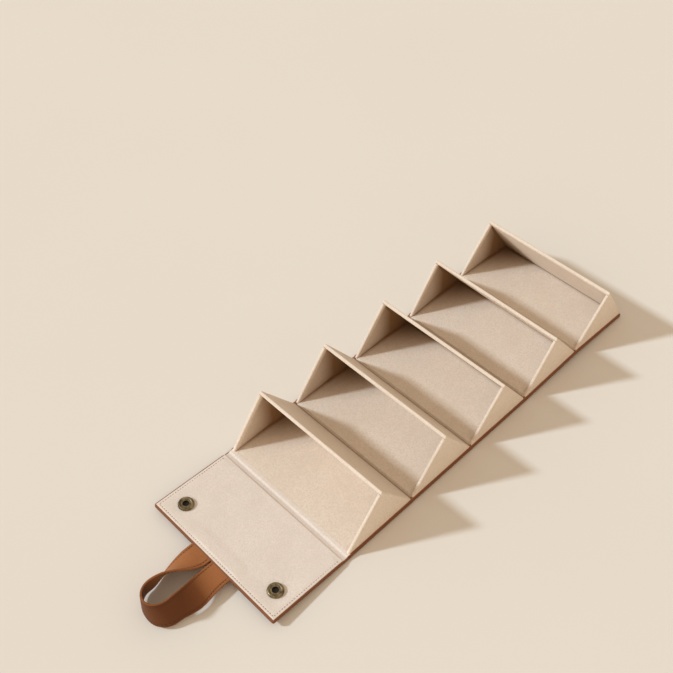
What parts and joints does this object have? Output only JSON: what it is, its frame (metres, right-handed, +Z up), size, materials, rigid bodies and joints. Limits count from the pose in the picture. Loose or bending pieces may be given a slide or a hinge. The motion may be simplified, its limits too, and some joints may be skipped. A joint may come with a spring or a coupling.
{
  "type": "roll-up jewellery case",
  "caption": "Roll-up leather jewellery case: lined triangular trays on one strip fold into a prism, closed by a snap flap with a loop handle.",
  "frame": {"origin": "middle of the outer face of tray 2, the tray that the closed case stands on", "axes": "+X across the strip, +Y along the open strip from the flap to the last tray, +Z up"},
  "size_m": [0.1446, 0.5184, 0.0547],
  "materials": {
    "leather": "smooth cognac leather, fine grain, satin",
    "strap_leather": "smooth cognac strap leather, stitched edges, satin",
    "lining": "beige microsuede, matt with a soft nap",
    "board": "grey binder's board",
    "antique_brass": "antique brass, darkened in the recesses"
  },
  "bodies": {
    "tray_2": {"tray_2_leather": "leather", "tray_2_base_board": "board", "tray_2_floor_lining": "lining", "tray_2_wall_board": "board", "tray_2_wall_lining": "lining", "tray_2_left_end_board": "board", "tray_2_left_end_lining": "lining", "tray_2_right_end_board": "board", "tray_2_right_end_lining": "lining", "crease_1_2": "leather", "crease_2_3": "leather"},
    "tray_1": {"tray_1_leather": "leather", "tray_1_base_board": "board", "tray_1_floor_lining": "lining", "tray_1_wall_board": "board", "tray_1_wall_lining": "lining", "tray_1_left_end_board": "board", "tray_1_left_end_lining": "lining", "tray_1_right_end_board": "board", "tray_1_right_end_lining": "lining", "crease_flap": "leather"},
    "flap": {"flap_leather": "leather", "flap_board": "board", "flap_lining": "lining", "snap_caps": "antique_brass", "snap_sockets": "antique_brass", "handle_ends": "strap_leather"},
    "handle": {"handle_loop": "strap_leather"},
    "tray_3": {"tray_3_leather": "leather", "tray_3_base_board": "board", "tray_3_floor_lining": "lining", "tray_3_wall_board": "board", "tray_3_wall_lining": "lining", "tray_3_left_end_board": "board", "tray_3_left_end_lining": "lining", "tray_3_right_end_board": "board", "tray_3_right_end_lining": "lining", "crease_3_4": "leather"},
    "tray_4": {"tray_4_leather": "leather", "tray_4_base_board": "board", "tray_4_floor_lining": "lining", "tray_4_wall_board": "board", "tray_4_wall_lining": "lining", "tray_4_left_end_board": "board", "tray_4_left_end_lining": "lining", "tray_4_right_end_board": "board", "tray_4_right_end_lining": "lining", "crease_4_5": "leather"},
    "tray_5": {"tray_5_leather": "leather", "tray_5_base_board": "board", "tray_5_floor_lining": "lining", "tray_5_wall_board": "board", "tray_5_wall_lining": "lining", "tray_5_left_end_board": "board", "tray_5_left_end_lining": "lining", "tray_5_right_end_board": "board", "tray_5_right_end_lining": "lining", "snap_studs": "antique_brass", "snap_rivets": "antique_brass"}
  },
  "joints": [
    {"name": "fold_1_2", "type": "hinge", "parent": "tray_2", "child": "tray_1", "pos_m": [0, -0.0375, 0.0024], "axis": [-1, 0, 0], "range_deg": [0, 72]},
    {"name": "flap_fold", "type": "hinge", "parent": "tray_1", "child": "flap", "pos_m": [0, -0.11713, 0.0024], "axis": [-1, 0, 0], "range_deg": [0, 66.87]},
    {"name": "handle_swing", "type": "hinge", "parent": "flap", "child": "handle", "pos_m": [0, -0.19424, 0.00615], "axis": [-1, 0, 0], "range_deg": [0, 50]},
    {"name": "fold_2_3", "type": "hinge", "parent": "tray_2", "child": "tray_3", "pos_m": [0, 0.0375, 0.0024], "axis": [1, 0, 0], "range_deg": [0, 72]},
    {"name": "fold_3_4", "type": "hinge", "parent": "tray_3", "child": "tray_4", "pos_m": [0, 0.1125, 0.0024], "axis": [1, 0, 0], "range_deg": [0, 69.34]},
    {"name": "fold_4_5", "type": "hinge", "parent": "tray_4", "child": "tray_5", "pos_m": [0, 0.18742, 0.00587], "axis": [1, 0, 0], "range_deg": [0, 77.4]}
  ]
}
